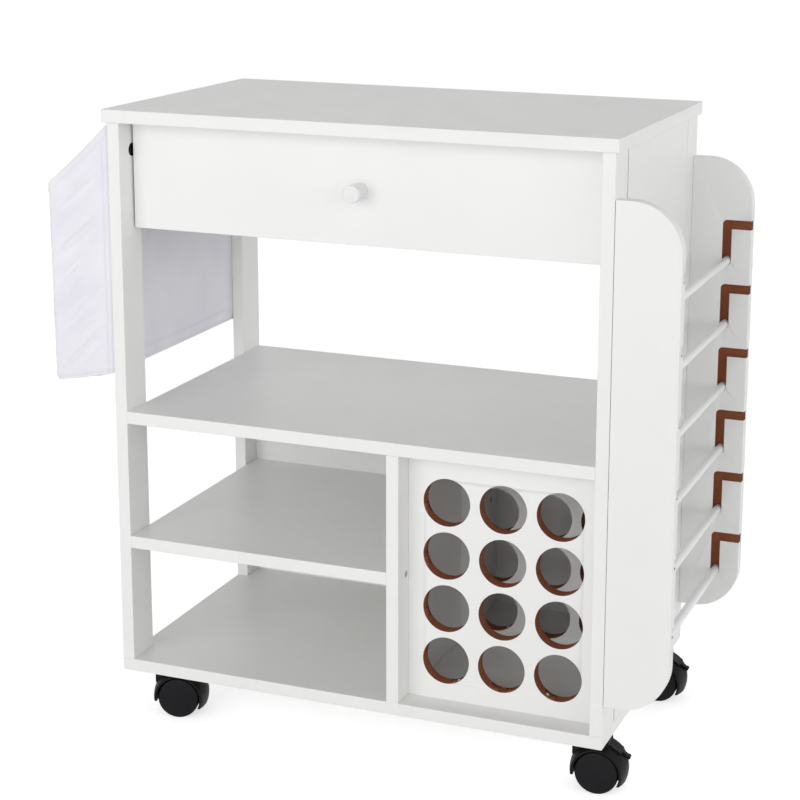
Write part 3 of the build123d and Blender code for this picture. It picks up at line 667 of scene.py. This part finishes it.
def bagPoint(column, row):
    # The cloth's outer surface and how thick it is there
    across, along, outward = column
    kind, amount = row
    facesOut = outward.x < -0.5      # the outer face and the corners next to it
    facesBack = outward.x >= 0.5     # the back and the corners next to it
    middle = 1.0
    if kind == "round":
        middle = 1 - 2 * bag["bottomRadius"] * (1 - math.cos(amount)) / bagReach
    elif kind == "inwards":
        middle = amount
    acrossHere = bagReach / 2 + (across - bagReach / 2) * middle
    alongHere = bagDepth / 2 + (along - bagDepth / 2) * (1 - (1 - middle) * bagReach / bagDepth)
    u, v = acrossHere / bagReach, alongHere / bagDepth

    # The mouth and the bottom as they hang, and this row's height between them
    top = bagHigh.z - bag["mouthDrop"] * u
    sideSlack = bag["sideSlack"] * math.sin(math.pi * u)
    top -= bag["mouthSlack"] * (math.sin(math.pi * v) * u + sideSlack)
    bottom = bagHigh.z - bag["height"] - bag["sag"] * u ** bag["sagCurve"]
    wallEnd = bottom + bag["bottomRadius"]
    if kind == "belowMouth":
        z = top - amount
    elif kind == "between":
        z = top - bag["hemWidth"] - bag["hemRows"][1]
        z += (wallEnd + bag["bottomRows"][0] - z) * amount
    elif kind == "aboveBottom":
        z = wallEnd + amount
    elif kind == "round":
        z = wallEnd - bag["bottomRadius"] * math.sin(amount)
    else:
        z = bottom - bag["bottomSlack"] * (1 - middle ** 2) * math.sin(math.pi * v)
    share = min(max((z - bottom) / (top - bottom), 0), 1)
    lean = bag["bottomLean"] + (bag["mouthLean"] - bag["bottomLean"]) * share
    place = Vector((bagHigh.x - bag["backGap"] - (bagReach + lean) * u, bagLow.y + alongHere, z))

    # Folds, puckers and crumples on the loose cloth, and a bow in the back
    thick = bag["cloth"] + (bag["backCloth"] - bag["cloth"]) * max(outward.x, 0) ** 2
    push = 0.0
    below = top - z
    soft = easeIn(share, 0, bag["bottomHold"])
    soft *= easeIn(below, bag["hemWidth"], bag["hemWidth"] + bag["hemHold"])
    sideways = acrossHere
    if facesOut:
        sideways = bagReach + min(alongHere, bagDepth - alongHere) * bag["faceShare"]
    if not facesBack:
        held = bag["cornerLoose"]
        loose = easeIn(acrossHere, bag["seamFromPost"], bag["seamFromPost"] + bag["seamHold"])
        loose *= held + (1 - held) * easeIn(abs(sideways - bagReach), 0, bag["cornerHold"])
        push += soft * loose * foldHeight(sideways, z - bagHigh.z + bag["height"])
        pucker = noise.noise(place / bag["puckerSize"]) * (bag["facePucker"] if facesOut else 1)
        push += soft * loose * bag["puckerHeight"] * pucker
        crumple = noise.noise(place / bag["crumpleSize"]) * bag["crumpleHeight"]
        crumple *= loose * (1 - easeIn(z - bottom, 0, bag["crumpleReach"]))
        place.z += bag["crumpleDrop"] * crumple
        if kind != "inwards":
            push += crumple
            if onSeam(column):
                push -= bag["seamDepth"]
    elif kind == "between":
        start, end = bag["backBowRange"]
        low = easeIn(below, start * bag["height"], end * bag["height"])
        push += bag["backBow"] * low * max(0, math.sin(math.pi * v)) ** 2
    if kind == "belowMouth" and amount < bag["hemWidth"] and not facesBack:
        push += bag["hemHeight"]
        thick += bag["hemHeight"]
    place += outward * push
    return place, thick


bagPlaces = [[bagPoint(column, row) for column in bagColumns] for row in bagRows]


def gridFaces(start, flip):
    # The quads between the rows of one wall, whose points begin at start
    width = len(bagColumns)
    faces = []
    for i in range(len(bagRows) - 1):
        for j in range(width):
            k = (j + 1) % width
            face = [start + i * width + j, start + i * width + k,
                    start + (i + 1) * width + k, start + (i + 1) * width + j]
            faces.append(face[::-1] if flip else face)
    return faces


def layCloth(mesh, outer):
    # The cloth's own map in metres: round the walls, and flat across the bottom
    width, start = len(bagColumns), len(outer)
    lengths = [0.0]
    for j in range(width):
        lengths.append(lengths[-1] + (outer[(j + 1) % width] - outer[j]).length)
    layer = mesh.uv_layers.new(name="clothMetres")
    wallRows = sum(1 for kind, amount in bagRows if kind not in ("round", "inwards"))
    for polygon in mesh.polygons:
        around = [vertex % width for vertex in polygon.vertices]
        wraps = max(around) == width - 1 and min(around) == 0
        onWall = all(vertex >= 2 * start or (vertex % start) // width < wallRows
                     for vertex in polygon.vertices)
        for corner, vertex in zip(polygon.loop_indices, polygon.vertices):
            place = mesh.vertices[vertex].co
            column = width if wraps and vertex % width == 0 else vertex % width
            layer.data[corner].uv = (lengths[column], place.z) if onWall else (place.x, place.y)


def makeBag():
    outer = [place for line in bagPlaces for place, thick in line]
    thickness = [thick for line in bagPlaces for place, thick in line]
    width, start = len(bagColumns), len(outer)

    # The outer wall turned inside out has normals that lead through the cloth
    draft = bpy.data.meshes.new("clothBagOuter")
    draft.from_pydata(outer, [], gridFaces(0, True))
    draft.update()
    inwards = [vertex.normal.copy() for vertex in draft.vertices]
    bpy.data.meshes.remove(draft)
    inner = [place + inward * thick for place, inward, thick in zip(outer, inwards, thickness)]
    rim = [(outer[j] + inner[j]) / 2 + Vector((0, 0, thickness[j] * bag["rimRise"]))
           for j in range(width)]

    faces = gridFaces(0, False) + gridFaces(start, True)
    for j in range(width):
        k = (j + 1) % width
        faces += [[2 * start + j, 2 * start + k, k, j],
                  [start + j, start + k, 2 * start + k, 2 * start + j]]
    mesh = bpy.data.meshes.new("clothBag")
    mesh.from_pydata(outer + inner + rim, [], faces)
    mesh.materials.append(materials["cloth"])
    layCloth(mesh, outer)
    weld(mesh, bag["weld"], faceOut=True)
    shadeSmooth(mesh)
    piece = addObject("clothBag", mesh)
    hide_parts("craft_bag")
    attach(piece, "cart_body")


makeBag()
print("stage: bag lofted")


# Stitches and piping follow paths on the bag

trim = {
    "stitches": {"Radius": 0.35 * mm, "Pitch": 3.2 * mm, "Stitch Length": 2.3 * mm},
    "stitchLift": 0.1 * mm,       # above the cloth
    "stitchMesh": {"Segments": 8, "Rings": 6},
    "piping": {"Radius": 1.1 * mm, "Pitch": 4 * mm},
    "pipingLift": 0.2 * mm,
    "pipingSides": 10,
}


def threadTree(name, sizes):
    # Geometry Nodes: dashes of thread at an even pitch where a stitch length is given, or a tube
    tree = bpy.data.node_groups.new(name, "GeometryNodeTree")
    face = tree.interface
    face.new_socket("Path", in_out="INPUT", socket_type="NodeSocketGeometry")
    for label, value in sizes.items():
        size = face.new_socket(label, in_out="INPUT", socket_type="NodeSocketFloat")
        size.default_value = value
    face.new_socket("Material", in_out="INPUT", socket_type="NodeSocketMaterial")
    face.new_socket("Thread", in_out="OUTPUT", socket_type="NodeSocketGeometry")
    given = addNode(tree, "NodeGroupInput").outputs
    curve = addNode(tree, "GeometryNodeMeshToCurve", links={"Mesh": given["Path"]})
    even = addNode(tree, "GeometryNodeResampleCurve", {"mode": "LENGTH"},
                   {"Curve": curve.outputs["Curve"], "Length": given["Pitch"]}).outputs["Curve"]
    if "Stitch Length" in sizes:
        # A ball one unit across, scaled to the thread's width and the stitch's length
        points = addNode(tree, "GeometryNodeCurveToPoints", {"mode": "EVALUATED"}, {"Curve": even})
        ball = addNode(tree, "GeometryNodeMeshUVSphere", {**trim["stitchMesh"], "Radius": 0.5})
        wide = addNode(tree, "ShaderNodeMath", {"operation": "MULTIPLY", 1: 2.0},
                       {0: given["Radius"]}).outputs[0]
        size = addNode(tree, "ShaderNodeCombineXYZ",
                       links={"X": wide, "Y": wide, "Z": given["Stitch Length"]})
        placed = addNode(tree, "GeometryNodeInstanceOnPoints", links={
            "Points": points.outputs["Points"], "Instance": ball.outputs["Mesh"],
            "Rotation": points.outputs["Rotation"], "Scale": size.outputs["Vector"]})
        made = placed.outputs["Instances"]
    else:
        ring = addNode(tree, "GeometryNodeCurvePrimitiveCircle",
                       {"Resolution": trim["pipingSides"]}, {"Radius": given["Radius"]})
        tube = addNode(tree, "GeometryNodeCurveToMesh", {"Fill Caps": True},
                       {"Curve": even, "Profile Curve": ring.outputs["Curve"]})
        made = tube.outputs["Mesh"]
    shape = addNode(tree, "GeometryNodeRealizeInstances", links={"Geometry": made})
    rounded = addNode(tree, "GeometryNodeSetShadeSmooth",
                      links={"Geometry": shape.outputs["Geometry"]})
    dressed = addNode(tree, "GeometryNodeSetMaterial", links={
        "Geometry": rounded.outputs["Geometry"], "Material": given["Material"]})
    addNode(tree, "NodeGroupOutput", links={"Thread": dressed.outputs["Geometry"]})
    return tree


def followPath(name, paths, tree, sizes, finish):
    # paths: lists of points, and whether each closes on itself
    vertices, edges = [], []
    for points, closed in paths:
        start = len(vertices)
        vertices += points
        edges += [(start + i, start + i + 1) for i in range(len(points) - 1)]
        if closed:
            edges.append((start + len(points) - 1, start))
    path = bpy.data.meshes.new(name + "Path")
    path.from_pydata(vertices, edges, [])
    draft = addObject(name + "Draft", path)
    run = draft.modifiers.new("run", "NODES")
    run.node_group = tree
    sockets = {item.name: item.identifier for item in tree.interface.items_tree
               if item.in_out == "INPUT"}
    for label, value in sizes.items():
        run[sockets[label]] = value
    run[sockets["Material"]] = materials[finish]
    mesh = evaluatedMesh(draft)
    mesh.name = name
    piece = addObject(name, mesh)
    bpy.data.objects.remove(draft)
    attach(piece, "cart_body")


def bagPath(rowNumbers, columnNumbers, lift):
    return [bagPlaces[i][j][0] + bagColumns[j][2] * lift
            for i in rowNumbers for j in columnNumbers]


def makeBagTrim():
    kinds = [kind for kind, amount in bagRows]
    stitchRow = bagRows.index(("belowMouth", bag["stitchInset"]))
    backHem = kinds.index("aboveBottom")
    pipingRow = kinds.index("round") + 1
    wall = [i for i, kind in enumerate(kinds) if kind in ("between", "aboveBottom")]
    around = range(len(bagColumns))
    outside = [j for j in around if bagColumns[j][2].x < 0.3]    # the sides and the outer face
    back = [j for j in around if bagColumns[j][2].x > 0.99]      # the flat part of the back
    lift = trim["stitchLift"]
    paths = [(bagPath([stitchRow], outside, lift), False)]
    paths += [(bagPath(wall, [j + 1], lift), False) for j in around if onSeam(bagColumns[j])]
    paths.append((bagPath([backHem], back, lift), False))
    followPath("bagStitches", paths, threadTree("stitchRun", trim["stitches"]),
               trim["stitches"], "thread")
    followPath("bagPiping", [(bagPath([pipingRow], around, trim["pipingLift"]), True)],
               threadTree("pipingRun", trim["piping"]), trim["piping"], "cloth")


makeBagTrim()
print("stage: bag trimmed")


# Floor, light and camera

stageSet = {
    "floorRadius": 40.0,
    "floorColour": "#F4F4F4",
    "floorGlow": 0.6,             # added where the floor is seen, so that it reads as white
    "horizonLight": 0.95,
    "zenithLight": 0.08,
    "rightShare": 2.2,            # light from the right of the room, as a share of the left
    "frontLight": 40.0,           # watts
    "frontPlace": (-0.6, -3.3, 1.2),
    "frontAim": (0, 0, 0.4),
    "frontSize": (3.0, 2.2),
}


def seenRays(tree):
    # 1 where the background is seen, straight or by way of gloss, metal or glass
    rays = addNode(tree, "ShaderNodeLightPath").outputs
    shiny = addNode(tree, "ShaderNodeMath", {"operation": "MAXIMUM"},
                    {0: rays["Is Glossy Ray"], 1: rays["Is Transmission Ray"]})
    seen = addNode(tree, "ShaderNodeMath", {"operation": "MAXIMUM"},
                   {0: rays["Is Camera Ray"], 1: shiny.outputs[0]})
    return seen.outputs[0]


def makeFloor():
    reach = stageSet["floorRadius"]
    corners = [(-reach, -reach, 0), (reach, -reach, 0), (reach, reach, 0), (-reach, reach, 0)]
    mesh = bpy.data.meshes.new("studioFloor")
    mesh.from_pydata(corners, [], [(0, 1, 2, 3)])
    material = bpy.data.materials.new("paintedFloor")
    tree = emptyTree(material)
    paint = addNode(tree, "ShaderNodeBsdfDiffuse", {"Color": hexToLinear(stageSet["floorColour"])})
    glow = addNode(tree, "ShaderNodeMath", {"operation": "MULTIPLY", 1: stageSet["floorGlow"]},
                   {0: seenRays(tree)})
    light = addNode(tree, "ShaderNodeEmission", links={"Strength": glow.outputs[0]})
    both = addNode(tree, "ShaderNodeAddShader", links={0: paint.outputs[0], 1: light.outputs[0]})
    addNode(tree, "ShaderNodeOutputMaterial", links={"Surface": both.outputs[0]})
    mesh.materials.append(material)
    addObject("studioFloor", mesh)


def makeWorld():
    # Bright near the horizon, darker overhead, and brighter from the right
    world = bpy.data.worlds.new("studioWorld")
    bpy.context.scene.world = world
    tree = emptyTree(world)
    direction = addNode(tree, "ShaderNodeTexCoord").outputs["Generated"]
    parts = addNode(tree, "ShaderNodeSeparateXYZ", links={"Vector": direction})
    height = addNode(tree, "ShaderNodeMapRange",
                     {"To Min": stageSet["horizonLight"], "To Max": stageSet["zenithLight"]},
                     {"Value": parts.outputs["Z"]})
    side = addNode(tree, "ShaderNodeMapRange", {"To Min": 1.0, "To Max": stageSet["rightShare"]},
                   {"Value": parts.outputs["X"]})
    room = addNode(tree, "ShaderNodeMath", {"operation": "MULTIPLY"},
                   {0: height.outputs["Result"], 1: side.outputs["Result"]})
    strength = addNode(tree, "ShaderNodeMapRange", {"To Max": 1.0},
                       {"Value": seenRays(tree), "To Min": room.outputs[0]})
    light = addNode(tree, "ShaderNodeBackground", {"Color": (1, 1, 1, 1)},
                    {"Strength": strength.outputs["Result"]})
    addNode(tree, "ShaderNodeOutputWorld", links={"Surface": light.outputs[0]})


def makeFrontLight():
    light = bpy.data.lights.new("frontSoftbox", "AREA")
    light.shape = "RECTANGLE"
    light.size, light.size_y = stageSet["frontSize"]
    light.energy = stageSet["frontLight"]
    lamp = addObject("frontSoftbox", light)
    lamp.location = stageSet["frontPlace"]
    aim = Vector(stageSet["frontAim"]) - lamp.location
    lamp.rotation_euler = aim.to_track_quat("-Z", "Y").to_euler()


photoCamera = {
    "place": (845.6 * mm, -2078.9 * mm, 1016.5 * mm),
    "pitch": 0.2162,              # radians, down
    "yaw": 0.3641,                # towards the bag side
    "roll": 0.0065,
    "focalPixels": 1940.9,
    "axisPixel": (450, 290),      # where the lens axis meets the photograph
    "imagePixels": 800,
    "sensor": 36.0,               # millimetres
    "farthest": 200,              # metres
}


def makeCamera():
    lens = bpy.data.cameras.new("photoCamera")
    pixels = photoCamera["imagePixels"]
    lens.sensor_width = photoCamera["sensor"]
    lens.lens = photoCamera["sensor"] * photoCamera["focalPixels"] / pixels
    lens.shift_x = (pixels / 2 - photoCamera["axisPixel"][0]) / pixels
    lens.shift_y = (photoCamera["axisPixel"][1] - pixels / 2) / pixels
    lens.clip_end = photoCamera["farthest"]
    camera = addObject("photoCamera", lens)
    turn = (Matrix.Rotation(photoCamera["yaw"], 4, "Z")
            @ Matrix.Rotation(math.pi / 2 - photoCamera["pitch"], 4, "X")
            @ Matrix.Rotation(photoCamera["roll"], 4, "Z"))
    camera.matrix_world = Matrix.Translation(photoCamera["place"]) @ turn
    bpy.context.scene.camera = camera


makeFloor()
makeWorld()
makeFrontLight()
makeCamera()
bpy.context.scene.view_settings.view_transform = "Standard"
print("stage: floor, light and camera set")
